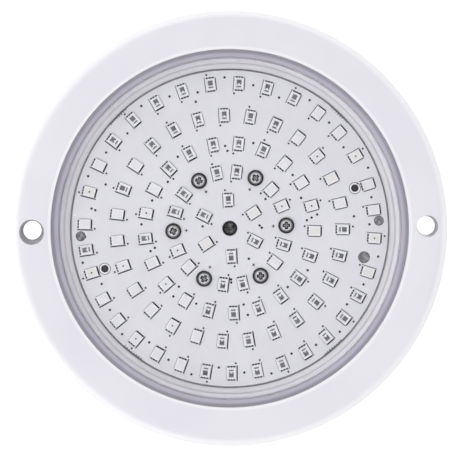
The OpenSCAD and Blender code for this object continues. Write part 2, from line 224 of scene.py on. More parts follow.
def add_prism(bm, outline, low, high, place=Matrix(), slot=0):
    """Upright prism over a closed (x, y) outline."""
    bottom = [bm.verts.new(place @ Vector((p[0], p[1], low))) for p in outline]
    top = [bm.verts.new(place @ Vector((p[0], p[1], high))) for p in outline]
    faces = [bm.faces.new(top), bm.faces.new(list(reversed(bottom)))]
    for i in range(len(outline)):
        j = (i + 1) % len(outline)
        faces.append(bm.faces.new([bottom[i], bottom[j], top[j], top[i]]))
    for f in faces:
        f.material_index = slot


def add_box(bm, low, high, place=Matrix(), slot=0):
    outline = [(low[0], low[1]), (high[0], low[1]), (high[0], high[1]), (low[0], high[1])]
    add_prism(bm, outline, low[2], high[2], place, slot)


def rectangle(half_w, half_l, corner_r, steps=2):
    """Rounded rectangle round the origin."""
    return rounded([(-half_w, -half_l, corner_r), (half_w, -half_l, corner_r),
                    (half_w, half_l, corner_r), (-half_w, half_l, corner_r)], steps)


def circle(r, segments=24, centre=(0, 0)):
    return [
        (centre[0] + r * math.cos(2 * math.pi * k / segments),
         centre[1] + r * math.sin(2 * math.pi * k / segments))
        for k in range(segments)
    ]


def boolean(obj, other, operation):
    """Cut or join another object into obj, and drop the other one."""
    mod = obj.modifiers.new("boolean", "BOOLEAN")
    mod.operation = operation
    mod.solver = "EXACT"
    mod.object = other
    bake_modifiers(obj)
    bpy.data.objects.remove(other)


def bake_modifiers(obj):
    graph = bpy.context.evaluated_depsgraph_get()
    mesh = bpy.data.meshes.new_from_object(obj.evaluated_get(graph))
    obj.modifiers.clear()
    obj.data = mesh


def sharpen(obj, angle=35):
    for poly in obj.data.polygons:
        poly.use_smooth = True
    obj.data.set_sharp_from_angle(angle=math.radians(angle))


def soften_edges(obj, width):
    """Round the edges of a cut shape."""
    mod = obj.modifiers.new("bevel", "BEVEL")
    mod.width = width * MM
    mod.segments = 2
    mod.limit_method = "ANGLE"
    mod.angle_limit = math.radians(40)
    mod.harden_normals = False
    bake_modifiers(obj)
    sharpen(obj)


# ---------------------------------------------------------------- material helpers

class Nodes:
    """A material's node tree, with short calls for the nodes used here."""

    def __init__(self, name):
        self.mat = bpy.data.materials.new(name)
        self.mat.use_nodes = True
        self.tree = self.mat.node_tree
        self.shader = self.tree.nodes["Principled BSDF"]
        self.output = self.tree.nodes["Material Output"]
        self.place = self.add("ShaderNodeTexCoord").outputs["Object"]

    def add(self, kind, **inputs):
        node = self.tree.nodes.new(kind)
        for key, value in inputs.items():
            self.feed(node.inputs[key.replace("_", " ")], value)
        return node

    def feed(self, socket, value):
        if isinstance(value, bpy.types.NodeSocket):
            self.tree.links.new(value, socket)
        else:
            socket.default_value = value

    def noise(self, per_mm, detail=3.0, roughness=0.5):
        node = self.add("ShaderNodeTexNoise", Vector=self.place, Scale=per_mm / MM,
                        Detail=detail, Roughness=roughness)
        return node.outputs["Fac"]

    def ramp(self, value, stops):
        node = self.add("ShaderNodeValToRGB", Fac=value)
        ramp = node.color_ramp
        while len(ramp.elements) < len(stops):
            ramp.elements.new(0.5)
        for element, (at, colour) in zip(ramp.elements, stops):
            element.position = at
            element.color = (*colour, 1)
        return node.outputs["Color"]

    def spread(self, value, low, high, from_low=0.3, from_high=0.7):
        node = self.add("ShaderNodeMapRange", Value=value)
        node.inputs["From Min"].default_value = from_low
        node.inputs["From Max"].default_value = from_high
        node.inputs["To Min"].default_value = low
        node.inputs["To Max"].default_value = high
        return node.outputs["Result"]

    def bump(self, height, depth_mm, strength=1.0, normal=None):
        node = self.add("ShaderNodeBump", Height=height, Strength=strength)
        node.inputs["Distance"].default_value = depth_mm * MM
        if normal is not None:
            self.feed(node.inputs["Normal"], normal)
        return node.outputs["Normal"]

    def radius(self):
        """Distance from the lamp's axis."""
        across = self.add("ShaderNodeVectorMath")
        across.operation = "MULTIPLY"
        self.feed(across.inputs[0], self.place)
        across.inputs[1].default_value = (1, 1, 0)
        length = self.add("ShaderNodeVectorMath")
        length.operation = "LENGTH"
        self.feed(length.inputs[0], across.outputs[0])
        return length.outputs["Value"]

    def product(self, first, second):
        node = self.add("ShaderNodeMath")
        node.operation = "MULTIPLY"
        self.feed(node.inputs[0], first)
        self.feed(node.inputs[1], second)
        return node.outputs[0]

    def axis(self, letter):
        return self.add("ShaderNodeSeparateXYZ", Vector=self.place).outputs[letter]

    def mix(self, share, first, second, blend_type="MIX"):
        node = self.add("ShaderNodeMix")
        node.data_type = "RGBA"
        node.blend_type = blend_type
        self.feed(node.inputs[0], share)
        self.feed(node.inputs[6], first)
        self.feed(node.inputs[7], second)
        return node.outputs[2]

    def set(self, **inputs):
        for key, value in inputs.items():
            self.feed(self.shader.inputs[key.replace("_", " ")], value)


def shade(colour, factor):
    return tuple(min(c * factor, 1.0) for c in colour)


def plastic(name, colour, roughness=0.35, grain_mm=0.25, depth=0.004, mottle=0.04):
    """Moulded plastic: faint mottling, fine grain and uneven gloss."""
    n = Nodes(name)
    flow = n.noise(0.05, 4)
    n.set(Base_Color=n.ramp(flow, [(0.3, shade(colour, 1 - mottle)), (0.7, shade(colour, 1 + mottle))]))
    n.set(Roughness=n.spread(n.noise(0.35, 5), roughness * 0.8, roughness * 1.25))
    n.set(Normal=n.bump(n.noise(1 / grain_mm, 4), depth))
    return n.mat


def metal(name, colour, roughness=0.3, scratch_mm=0.15, depth=0.003, mottle=0.1):
    """Bare metal with a fine worked surface and cloudy tarnish."""
    n = Nodes(name)
    cloud = n.noise(0.4, 5)
    n.set(Base_Color=n.ramp(cloud, [(0.3, shade(colour, 1 - mottle)), (0.7, shade(colour, 1 + mottle))]))
    n.set(Metallic=1.0)
    n.set(Roughness=n.spread(n.noise(0.9, 5), roughness * 0.7, roughness * 1.4))
    n.set(Normal=n.bump(n.noise(1 / scratch_mm, 3), depth))
    return n.mat


def rubber(name, colour):
    n = Nodes(name)
    n.set(Base_Color=n.ramp(n.noise(0.3, 5), [(0.3, shade(colour, 0.85)), (0.7, shade(colour, 1.15))]))
    n.set(Roughness=n.spread(n.noise(1.2, 4), 0.6, 0.8))
    n.set(Normal=n.bump(n.noise(6, 3), 0.005))
    return n.mat


def worn(name, dark, light):
    """Grey plastic or pad, scuffed lighter in patches and streaks."""
    n = Nodes(name)
    scuffs = n.noise(0.9, 6, 0.65)
    n.set(Base_Color=n.ramp(scuffs, [(0.38, dark), (0.66, light)]))
    n.set(Roughness=n.spread(scuffs, 0.45, 0.75))
    n.set(Normal=n.bump(n.noise(2.2, 5), 0.03))
    return n.mat


# ---------------------------------------------------------------- materials

def white_abs():
    """Glossy white housing plastic: mottled and grained. The front's two edges are painted highlights, and
    the sides are painted paler than the front to lift their shade.
    """
    n = Nodes("white_abs")
    flow = n.noise(0.03, 4)
    front_tone = n.ramp(flow, [(0.3, (0.785, 0.775, 0.825)), (0.7, (0.815, 0.81, 0.85))])
    # the sides are painted paler than the front, to lift their shade
    side_tone_painted_paler = n.ramp(flow, [(0.3, (0.86, 0.86, 0.875)), (0.7, (0.89, 0.89, 0.90))])
    # painted highlight: the front turns paler just outside the bore's edge
    bore_highlight = n.spread(n.radius(), 0.55, 0, (RING_BORE + 0.75) * MM, (RING_BORE + 1.2) * MM)
    face = n.mix(bore_highlight, front_tone, (0.99, 0.985, 0.995, 1))
    height = n.axis("Z")
    rounding_z = (FLANGE_TOP - 3) * MM
    near_front = n.spread(height, 0, 1, rounding_z, (FLANGE_TOP - 2) * MM)
    housing = n.mix(near_front, side_tone_painted_paler, face)
    # painted highlight: the front's outer rounding turns near white
    near_edge = n.spread(n.radius(), 0, 1, (FLANGE_R - 2.1) * MM, (FLANGE_R - 0.8) * MM)
    edge_highlight = n.product(near_edge, n.spread(height, 0, 1, rounding_z, (FLANGE_TOP - 2.2) * MM))
    n.set(Base_Color=n.mix(edge_highlight, housing, (0.99, 0.99, 0.995, 1)))
    n.set(Roughness=n.spread(n.noise(0.12, 6), 0.3, 0.42))
    grain = n.bump(n.noise(5, 3), 0.0035)
    n.set(Normal=n.bump(n.noise(0.08, 2), 0.02, 0.6, grain))
    n.set(IOR=1.5)
    return n.mat


def hole_wall_painted_shade():
    """Walls of the mounting holes: mottled grey painted shade, with a painted white highlight on the +X
    hole's inner side.
    """
    n = Nodes("hole_wall_painted_shade")
    # painted shade on the hole walls
    wall_shade = n.ramp(n.noise(0.7, 6, 0.65), [(0.32, (0.27, 0.26, 0.28)), (0.62, (0.60, 0.575, 0.61))])
    # painted highlight on the inner side of the +X hole
    along = n.axis("X")
    inner_side = n.spread(along, 0, 1, (EAR_X + 1) * MM, (EAR_X - 1) * MM)
    on_right = n.spread(along, 0, 1, -1 * MM, 1 * MM)
    n.set(Base_Color=n.mix(n.product(inner_side, on_right), wall_shade, (0.97, 0.97, 0.98, 1)))
    n.set(Roughness=n.spread(n.noise(0.6, 4), 0.4, 0.6))
    n.set(Normal=n.bump(n.noise(4, 3), 0.006))
    return n.mat


def lip_abs_painted_shade():
    """The lip round the board, with painted shade and painted light: darkest by the gap round the board,
    darker in its groove, and painted brightest outside the groove.
    """
    n = Nodes("lip_abs_painted_shade")
    reach = 3.2
    # painted shade by the gap and in the groove; the whole lip is painted paler than the housing to lift its
    # shade, low between board and cover
    tones = [(BEAD_R, 0.72), (48.5, 0.87), (48.9, 0.95), (49.5, 0.93), (49.58, 0.80),
             (49.9, 0.80), (49.98, 0.98), (BEAD_R + reach, 1.0)]
    stops = [((r - BEAD_R) / reach, (tone, tone * 0.99, tone)) for r, tone in tones]
    rings = n.ramp(n.spread(n.radius(), 0, 1, BEAD_R * MM, (BEAD_R + reach) * MM), stops)
    flow = n.ramp(n.noise(0.05, 4), [(0.3, (0.97, 0.97, 0.97)), (0.7, (1, 1, 1))])
    n.set(Base_Color=n.mix(1.0, rings, flow, "MULTIPLY"))
    n.set(Roughness=n.spread(n.noise(0.35, 5), 0.36, 0.56))
    n.set(Normal=n.bump(n.noise(4, 4), 0.003))
    return n.mat


def clear_cover(name, colour, transmission, rough_low, rough_high):
    """Clear polycarbonate. Lamps reach through it, so what is behind it is lit."""
    n = Nodes(name)
    n.set(Base_Color=n.ramp(n.noise(0.06, 3), [(0.3, shade(colour, 0.99)), (0.7, colour)]))
    return let_lamps_through(n, transmission, rough_low, rough_high)


def satin_rim_painted_refraction():
    """The cover's rim: cloudy, with lighter and darker rings painted in for the refraction and shade of its
    thick clear wall.
    """
    n = Nodes("satin_polycarbonate_painted_refraction")
    inner, outer = COVER_INNER_R - 0.1, COVER_R + 0.05
    depth = n.spread(n.radius(), 0, 1, inner * MM, outer * MM)
    # painted refraction and shade: rings of lighter and darker tone across the rim
    rings = n.ramp(depth, [
        (0.0, (0.86, 0.84, 0.91)), (0.12, (0.64, 0.615, 0.69)), (0.26, (0.745, 0.715, 0.81)),
        (0.5, (0.65, 0.63, 0.715)), (0.68, (0.445, 0.43, 0.49)), (0.94, (0.435, 0.42, 0.48)),
        (1.0, (0.51, 0.50, 0.555))])
    cloud = n.ramp(n.noise(0.08, 5), [(0.3, (0.92, 0.91, 0.92)), (0.7, (1, 1, 1))])
    n.set(Base_Color=n.mix(1.0, rings, cloud, "MULTIPLY"))
    return let_lamps_through(n, 0.5, 0.32, 0.45)


def let_lamps_through(n, transmission, rough_low, rough_high):
    n.set(Transmission_Weight=transmission, IOR=1.5)
    n.set(Roughness=n.spread(n.noise(0.2, 4), rough_low, rough_high))
    n.set(Normal=n.bump(n.noise(0.05, 2), 0.004, 0.5))
    pass_through = n.add("ShaderNodeBsdfTransparent")
    pass_through.inputs["Color"].default_value = (0.99, 0.99, 1.0, 1)
    path = n.add("ShaderNodeLightPath")
    mix = n.add("ShaderNodeMixShader")
    n.feed(mix.inputs[0], path.outputs["Is Shadow Ray"])
    n.feed(mix.inputs[1], n.shader.outputs[0])
    n.feed(mix.inputs[2], pass_through.outputs[0])
    n.feed(n.output.inputs["Surface"], mix.outputs[0])
    return n.mat


def solder_mask(name, colour, roughness=0.45):
    """Lacquered circuit board, with a trace of the copper's relief."""
    n = Nodes(name)
    tone = n.ramp(n.noise(0.05, 5), [(0.3, shade(colour, 0.975)), (0.7, shade(colour, 1.02))])
    n.set(Base_Color=tone)
    n.set(Roughness=n.spread(n.noise(0.5, 4), roughness * 0.85, roughness * 1.15))
    orange_peel = n.bump(n.noise(1.6, 3), 0.004)
    n.set(Normal=n.bump(n.noise(0.25, 1), 0.01, 0.5, orange_peel))
    return n.mat


def screw_steel_painted_shade():
    """Bright head with painted shade down its steep shoulder: the colour turns near black as the surface
    turns steep.
    """
    n = Nodes("stainless_steel")
    normal = n.add("ShaderNodeSeparateXYZ", Vector=n.add("ShaderNodeNewGeometry").outputs["Normal"])
    upright = n.add("ShaderNodeMath", Value=normal.outputs["Z"])
    upright.operation = "ABSOLUTE"
    # painted shade: near black on steep faces, bright on level ones
    tone = n.ramp(upright.outputs[0], [(0.6, (0.012, 0.012, 0.013)), (0.98, (0.93, 0.93, 0.94))])
    n.set(Base_Color=tone, Metallic=1.0)
    n.set(Roughness=n.spread(n.noise(1.5, 5), 0.32, 0.5))
    n.set(Normal=n.bump(n.noise(8, 3), 0.003))
    return n.mat


def wire_with_painted_shade_end(name, colour):
    """Insulated wire whose top end, in the board, is painted black as shade in its hole."""
    n = Nodes(name)
    # painted shade: the wire is black above z = -2.5 mm
    shaded_end = n.spread(n.axis("Z"), 0, 1, -2.6 * MM, -2.5 * MM)
    wire = n.ramp(n.noise(0.4, 4), [(0.3, shade(colour, 0.85)), (0.7, shade(colour, 1.15))])
    black = n.ramp(n.noise(2.5, 4, 0.7), [(0.4, (0.035, 0.035, 0.037)), (0.7, (0.10, 0.10, 0.105))])
    n.set(Base_Color=n.mix(shaded_end, wire, black))
    n.set(Roughness=n.spread(n.noise(1, 4), 0.28, 0.45))
    n.set(Normal=n.bump(n.noise(2, 3), 0.01))
    return n.mat


def black_rubber():
    """Black rubber with pale flecks in the middle of the plug, and painted shade, near black, on its outer
    shoulder.
    """
    n = Nodes("black_rubber")
    flecks = n.noise(1.1, 5, 0.7)
    dusty = n.ramp(flecks, [(0.44, (0.006, 0.006, 0.007)), (0.64, (0.24, 0.24, 0.24))])
    # painted shade: the outer shoulder is near black
    shaded_shoulder = n.spread(n.radius(), 0, 1, 1.2 * MM, 1.8 * MM)
    n.set(Base_Color=n.mix(shaded_shoulder, dusty, (0.006, 0.006, 0.007, 1)))
    n.set(Roughness=n.spread(flecks, 0.5, 0.75))
    n.set(Normal=n.bump(n.noise(1.4, 4), 0.12))
    return n.mat


MATERIALS = {
    "white_abs": white_abs(),
    "clear_polycarbonate": clear_cover("clear_polycarbonate", (0.985, 0.985, 0.995), 1.0, 0.0, 0.02),
    "grey_silicone": worn("grey_silicone", (0.26, 0.26, 0.27), (0.62, 0.62, 0.63)),
    "white_silicone": rubber("white_silicone", (0.80, 0.78, 0.86)),
    "stainless_steel": screw_steel_painted_shade(),
    "white_solder_mask": solder_mask("white_solder_mask", (0.768, 0.770, 0.786)),
    "led_body": plastic("led_body", (0.89, 0.89, 0.90), 0.4, 0.2, 0.003, 0.02),
    "grey_nylon": plastic("grey_nylon", (0.16, 0.16, 0.17), 0.5, 0.6, 0.03, 0.15),
    "aluminium_plate": metal("aluminium_plate", (0.72, 0.73, 0.75), 0.35),
    "red_pvc": wire_with_painted_shade_end("red_pvc", (0.42, 0.02, 0.02)),
    "black_pvc": wire_with_painted_shade_end("black_pvc", (0.02, 0.02, 0.022)),
    "solder": metal("solder", (0.55, 0.55, 0.56), 0.35),
    "green_solder_mask": solder_mask("green_solder_mask", (0.02, 0.14, 0.06), 0.3),
    "black_epoxy": plastic("black_epoxy", (0.025, 0.025, 0.028), 0.55, 0.1, 0.01),
    "capacitor_sleeve": plastic("capacitor_sleeve", (0.02, 0.03, 0.10), 0.25),
    "ferrite": rubber("ferrite", (0.06, 0.06, 0.065)),
    "copper_enamel": metal("copper_enamel", (0.65, 0.27, 0.11), 0.25),
    "green_nylon": plastic("green_nylon", (0.02, 0.22, 0.10), 0.45, 0.3, 0.01),
    "black_rubber": black_rubber(),
}
INK_AND_PAINTED_SHADOW = plastic("legend_ink_and_painted_shadow", (0.02, 0.02, 0.022), 0.6)
SATIN_RIM_PAINTED_REFRACTION = satin_rim_painted_refraction()
HOLE_WALL_SHADE = hole_wall_painted_shade()
LIP_PAINTED_SHADE = lip_abs_painted_shade()
MILKY_RESIN = plastic("milky_resin", (0.82, 0.82, 0.83), 0.25, 0.4, 0.002, 0.02)
IVORY_RESIN = plastic("ivory_resin", (0.825, 0.81, 0.775), 0.25, 0.4, 0.002, 0.02)
WORN_NYLON = worn("worn_nylon", (0.09, 0.09, 0.095), (0.42, 0.42, 0.43))
DARKER_STEEL = metal("darker_steel", (0.45, 0.45, 0.46), 0.5, 0.15, 0.01, 0.3)
PAINTED_SHADE_GREY = worn("painted_shade_grey", (0.14, 0.14, 0.145), (0.40, 0.40, 0.41))
LEAD_FRAME = metal("lead_frame", (0.26, 0.26, 0.275), 0.4)
DULL_SOLDER = worn("dull_solder", (0.02, 0.02, 0.022), (0.34, 0.34, 0.35))
DARK_SOLDER_AND_SHADOW = plastic("dark_solder_and_painted_shadow", (0.008, 0.008, 0.009), 0.7, 0.15, 0.01, 0.3)


def dress_cad_nodes():
    """Give every CAD node the material of its slot."""
    for part in frame["record"]["subparts"]:
        obj = bpy.data.objects[part["node"]]
        obj.data.materials.clear()
        obj.data.materials.append(MATERIALS[part["material_slot"]])


def piece(obj, slot, *nodes, materials=None):
    """Hand a finished mesh to the frame: its material, its body and what it stands for."""
    for mat in materials or [MATERIALS[slot]]:
        obj.data.materials.append(mat)
    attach(obj, "root")
    if nodes:
        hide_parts(*nodes)


# ---------------------------------------------------------------- housing

def face_ring():
    obj = lathe("face_ring_moulding", rounded([
        (RING_BORE, SPLIT_Z, 0.0), (FLANGE_R, SPLIT_Z, 0.25),
        (FLANGE_R, FLANGE_TOP, 3.0), (RING_BORE, FLANGE_TOP, 0.3)], 10))
    for hole, (x, y, mouth_r) in zip(EAR_HOLES, EAR_MOUTHS):
        mouth = (x, y)
        flared_r = mouth_r + 0.08
        bm = bmesh.new()
        add_loft(bm, [(hole, EAR_HOLE_R, SPLIT_Z - 1), (hole, EAR_HOLE_R, SPLIT_Z + 0.5),
                      (mouth, mouth_r - 0.1, FLANGE_TOP - 0.2), (mouth, flared_r, FLANGE_TOP + 0.05),
                      (mouth, flared_r, FLANGE_TOP + 1)])
        boolean(obj, finish_mesh("cutter", bm), "DIFFERENCE")
    sharpen(obj)
    piece(obj, "white_abs", "face_ring", materials=[MATERIALS["white_abs"], HOLE_WALL_SHADE])
    # the mounting holes' walls take the painted shade of the hole-wall material
    for poly in obj.data.polygons:
        x, y, _ = poly.center / MM
        near_ear = math.hypot(abs(x) - EAR_X, y) < 4.2
        poly.material_index = int(near_ear and abs(poly.normal.z) < STEEP)


def cup_outline():
    groove_in = LIP_GROOVE[0] - LIP_GROOVE[1] / 2
    groove_out = LIP_GROOVE[0] + LIP_GROOVE[1] / 2
    groove_floor = LIP_TOP - LIP_GROOVE[1]
    return rounded([
        (0, CUP_BOTTOM + 0.6, 0), (FOOT_R - 0.6, CUP_BOTTOM + 0.6, 0.2), (FOOT_R, CUP_BOTTOM, 0.15),
        (CUP_R, CUP_BOTTOM, 1.8), (CUP_R, 0, 0.5), (FLANGE_R, 0, 0.5), (FLANGE_R, SPLIT_Z, 0.25),
        (SEAT[0], SPLIT_Z, 0), (SEAT[0], SEAT[1], 0), (LIP_R, SEAT[1], 0), (LIP_R, LIP_TOP, 0.15),
        (groove_out, LIP_TOP, 0.08), (groove_out, groove_floor, 0), (groove_in, groove_floor, 0),
        (groove_in, LIP_TOP, 0.08), (BEAD_R, LIP_TOP, 0.1), (BEAD_R, 1.0, 0.1),
        (STACK_R, 0.7, 0.1), (STACK_R, LEDGE_Z, 0),
        (CUP_INNER_R, LEDGE_Z, 0), (CUP_INNER_R, CUP_FLOOR, 1.0), (0, CUP_FLOOR, 0)], 5)


def rear_cup():
    obj = lathe("rear_cup_moulding", cup_outline())
    pad = bmesh.new()
    half_w, low, high, back, corner = 9.5, CUP_BOTTOM + 1.5, -2.0, CUP_R - 2.5, 1.5
    outline = rounded([(-half_w, low, corner), (half_w, low, corner),
                       (half_w, high, corner), (-half_w, high, corner)], 6)
    stand = Matrix.Translation((0, -back, 0)) @ Matrix.Rotation(math.radians(90), 4, "X")
    add_prism(pad, outline, 0, GLAND_FACE - back, stand)
    boolean(obj, finish_mesh("pad", pad), "UNION")
    cutters = bmesh.new()
    above = SPLIT_Z + 1
    for x, y in EAR_HOLES:
        add_lathe(cutters, [(0, -1), (EAR_HOLE_R + 0.3, -1), (EAR_HOLE_R + 0.3, 0), (EAR_HOLE_R, 0.3),
                            (EAR_HOLE_R, above), (0, above)], 64, Matrix.Translation((x, y, 0)))
    well_r, well_mouth_r, well_depth, shank_r = 3.05, 3.3, 1.7, 1.6
    for r, deg in CLAMP_SCREWS:
        add_lathe(cutters, [(0, -1), (well_mouth_r, -1), (well_mouth_r, 0), (well_r, 0.25),
                            (well_r, well_depth), (shank_r, well_depth), (shank_r, above), (0, above)],
                  48, Matrix.Translation(polar(r, deg)))
    spigot_r, spigot_l = 6.1, 14
    bore = Matrix.Translation((0, -CUP_INNER_R + 4, GLAND_Z)) @ Matrix.Rotation(math.radians(90), 4, "X")
    add_lathe(cutters, [(0, 0), (spigot_r, 0), (spigot_r, spigot_l), (0, spigot_l)], 64, bore)
    boolean(obj, finish_mesh("cutter", cutters), "DIFFERENCE")
    sharpen(obj)
    piece(obj, "white_abs", "rear_cup", materials=[MATERIALS["white_abs"], LIP_PAINTED_SHADE, HOLE_WALL_SHADE])
    for poly in obj.data.polygons:
        x, y, z = poly.center / MM
        r = math.hypot(x, y)
        # the lip takes the material with painted shade and painted light
        if z > LEDGE_Z + 0.5 and STACK_R - 0.6 < r < LIP_R + 0.05:
            poly.material_index = 1
        # the mounting holes' walls take the hole-wall painted shade
        elif math.hypot(abs(x) - EAR_X, y) < 3.5 and abs(poly.normal.z) < STEEP:
            poly.material_index = 2


def lens_cover():
    foot = COVER_FOOT + 0.03
    outline = [
        (0, WINDOW_Z, 0), (COVER_INNER_R, WINDOW_Z, 0.25), (COVER_INNER_R, foot, 0),
        (COVER_FOOT_R, foot, 0.1), (COVER_FOOT_R, SPLIT_Z, 0.1), (COVER_R, SPLIT_Z, 0.2),
        (COVER_R, COVER_TOP, 0.35), (COVER_INNER_R - 0.05, COVER_TOP, 0), (0, COVER_TOP, 0)]
    obj = lathe("lens_cover_moulding", rounded(outline, 6))
    piece(obj, "clear_polycarbonate", "lens_cover",
          materials=[MATERIALS["clear_polycarbonate"], SATIN_RIM_PAINTED_REFRACTION])
    # the rim takes the material with the painted refraction rings
    for poly in obj.data.polygons:
        poly.material_index = int(poly.center.xy.length > (COVER_INNER_R - 0.1) * MM)


# ---------------------------------------------------------------- screws and gland

def add_cross(bm, arm, web, low, high, place):
    """Cross recess whose walls lean outwards towards its mouth."""
    loops = []
    for z, grow in ((low, -0.38), (high, 0.0), (high + 0.5, 0.0)):
        a, w = arm + grow, max(web + grow * 0.75, 0.12)
        cross = [(w, w), (w, a), (-w, a), (-w, w), (-a, w), (-a, -w),
                 (-w, -w), (-w, -a), (w, -a), (w, -w), (a, -w), (a, w)]
        loops.append([bm.verts.new(place @ Vector((x, y, z))) for x, y in cross])
    bm.faces.new(list(reversed(loops[0])))
    bm.faces.new(loops[-1])
    for lower, upper in zip(loops, loops[1:]):
        for i in range(len(lower)):
            j = (i + 1) % len(lower)
            bm.faces.new([lower[i], lower[j], upper[j], upper[i]])


def cross_head(name, places, head_r, head_h, flat_r, shank_r, length, seat_z, down, *nodes):
    """Washer-head screws with a cross recess, all in one piece."""
    flip = Matrix.Rotation(math.pi, 4, "X") if down else Matrix()
    seats = []
    for i, (r, deg) in enumerate(places):
        spin = Matrix.Rotation(math.radians(37 * i), 4, "Z")
        seats.append(Matrix.Translation(polar(r, deg) + Vector((0, 0, seat_z))) @ flip @ spin)
    outline = rounded([(0, -length, 0), (shank_r, -length, 0.3), (shank_r, 0, 0), (head_r, 0, 0),
                       (head_r, head_h * 0.14, 0.1), (head_r * 0.895, head_h * 0.5, 0.1),
                       (head_r * 0.79, head_h * 0.71, 0.1), (head_r * 0.7, head_h * 0.86, 0.1),
                       (flat_r, head_h, 0.2), (0, head_h, 0)], 4)
    bm, cut = bmesh.new(), bmesh.new()
    for seat in seats:
        add_lathe(bm, outline, 48, seat)
        add_cross(cut, head_r * 0.47, head_r * 0.2, head_h * 0.4, head_h, seat)
    screws = finish_mesh(name, bm)
    boolean(screws, finish_mesh("cutter", cut), "DIFFERENCE")
    sharpen(screws, 30)
    piece(screws, "stainless_steel", *nodes, materials=[MATERIALS["stainless_steel"], DARKER_STEEL])
    axes = [polar(r, deg) for r, deg in places]
    for poly in screws.data.polygons:
        centre = poly.center / MM
        depth = abs(centre.z - seat_z)
        near_axis = min((centre - axis).xy.length for axis in axes) < head_r * 0.5
        # the recess floors are in a darker steel
        recess_floor = 0.1 < depth < head_h - 0.2 and abs(poly.normal.z) > 0.8
        poly.material_index = int(near_axis and recess_floor)


def hexagon(flats):
    r = flats / 2 / math.cos(math.radians(30))
    return [(r * math.cos(math.radians(60 * k)), r * math.sin(math.radians(60 * k))) for k in range(6)]


def gland():
    """Hexagon body and domed nut, with turned corners, standing out of the cup."""
    axis = Matrix.Translation((0, -GLAND_FACE, GLAND_Z)) @ Matrix.Rotation(math.radians(90), 4, "X")
    cable_hole_r, seal_r = 3.3, 4.7
    body = bmesh.new()
    add_prism(body, hexagon(15), 0.1, 4, axis)
    body = finish_mesh("gland_body_moulding", body)
    turned = bmesh.new()
    add_lathe(turned, rounded([(0, 0.1, 0), (8.1, 0.1, 0), (8.7, 0.6, 0), (8.7, 3.5, 0),
                               (8.1, 4, 0), (0, 4, 0)]), 96, axis)
    boolean(body, finish_mesh("turned", turned), "INTERSECT")
    shank = bmesh.new()
    add_lathe(shank, [(0, -11.5), (5.6, -11.5), (6, -11), (6, 1), (5.6, 1), (5.6, 8), (0, 8)], 96, axis)
    boolean(body, finish_mesh("shank", shank), "UNION")
    bore = bmesh.new()
    add_lathe(bore, [(0, -13), (cable_hole_r, -13), (cable_hole_r, 3), (seal_r, 3), (seal_r, 9), (0, 9)],
              96, axis)
    boolean(body, finish_mesh("bore", bore), "DIFFERENCE")
    soften_edges(body, 0.15)
    piece(body, "grey_nylon", "gland_body")

    start = 4.2
    nut = bmesh.new()
    add_prism(nut, hexagon(14), start, start + 5, axis)
    nut = finish_mesh("gland_nut_moulding", nut)
    turned = bmesh.new()
    add_lathe(turned, [(0, start), (7.6, start), (8.1, start + 0.5), (8.1, start + 4.4), (7.5, start + 5),
                       (0, start + 5)], 96, axis)
    boolean(nut, finish_mesh("turned", turned), "INTERSECT")
    dome = bmesh.new()
    add_lathe(dome, rounded([(0, start + 3, 0), (6.9, start + 3, 0),
                             (6.9, start + 8, 3.0), (0, start + 8, 0)], 12), 96, axis)
    boolean(nut, finish_mesh("dome", dome), "UNION")
    bore = bmesh.new()
    add_lathe(bore, [(0, start - 1), (5.6, start - 1), (5.6, start + 4), (cable_hole_r, start + 4),
                     (cable_hole_r, start + 7.6), (3.7, start + 8.2), (3.7, start + 9), (0, start + 9)],
              96, axis)
    boolean(nut, finish_mesh("bore", bore), "DIFFERENCE")
    soften_edges(nut, 0.12)
    piece(nut, "grey_nylon", "gland_nut")


def centre_plug():
    """Black plug with an uneven top, deep in the board's centre hole."""
    low, high = box_mm("centre_plug")
    head_r, head_h, shaft_r = high[0], 0.6, 2.15
    bottom, top = low[2], high[2]
    bm = bmesh.new()
    add_lathe(bm, rounded([
        (0, bottom, 0), (head_r, bottom, 0.15), (head_r, bottom + head_h, 0.1), (shaft_r, bottom + head_h, 0),
        (shaft_r, top - 0.35, 0.2), (1.7, top - 0.3, 0.1), (1.2, top - 0.1, 0.2), (0.6, top - 0.35, 0.2),
        (0, top - 0.2, 0)], 4), 64)
    piece(finish_mesh("centre_plug_rubber", bm), "black_rubber", "centre_plug")


def locating_pins():
    """Moulded pins with a bevelled top, a little slimmer where they pass the board."""
    low, high = box_mm("locating_pins")
    bottom, top = low[2], high[2]
    pin_r, slim_r, top_r = 1.5, 1.37, 1.12
    outline = rounded([
        (0, bottom, 0), (pin_r, bottom, 0.3), (pin_r, board_low[2] - 0.4, 0.05),
        (slim_r, board_low[2] - 0.2, 0.05), (slim_r, top - 0.25, 0.05),
        (top_r, top, 0.1), (0.3, top, 0.05), (0, top - 0.12, 0)], 4)
    bm = bmesh.new()
    for r, deg in PINS:
        add_lathe(bm, outline, 48, Matrix.Translation(polar(r, deg)))
    piece(finish_mesh("locating_pin_mouldings", bm), "grey_nylon", "locating_pins", materials=[WORN_NYLON])


def tool_hole_wall():
    """Dark sleeve lining the board's tooling hole, its colour painted shade."""
    bm = bmesh.new()
    hole = Matrix.Translation(polar(*TOOL_HOLE))
    add_ring(bm, 1.72, 1.799, board_low[2] + 0.02, BOARD_TOP + INK_H, hole)
    piece(finish_mesh("tool_hole_wall", bm), "black_epoxy", materials=[PAINTED_SHADE_GREY])


def rim_marks():
    """Two short dark marks on the cover's rim."""
    bm = bmesh.new()
    for r, deg in ((51.9, 8.6), (51.8, 131.5)):
        place = led_frame_at(r, deg) @ Matrix.Translation((0, 0, COVER_TOP - 0.04 - BOARD_TOP))
        add_box(bm, (-0.12, -0.5, 0), (0.12, 0.45, 0.03), place)
    piece(finish_mesh("rim_marks", bm), "black_epoxy", materials=[INK_AND_PAINTED_SHADOW])


# ---------------------------------------------------------------- LEDs and the board

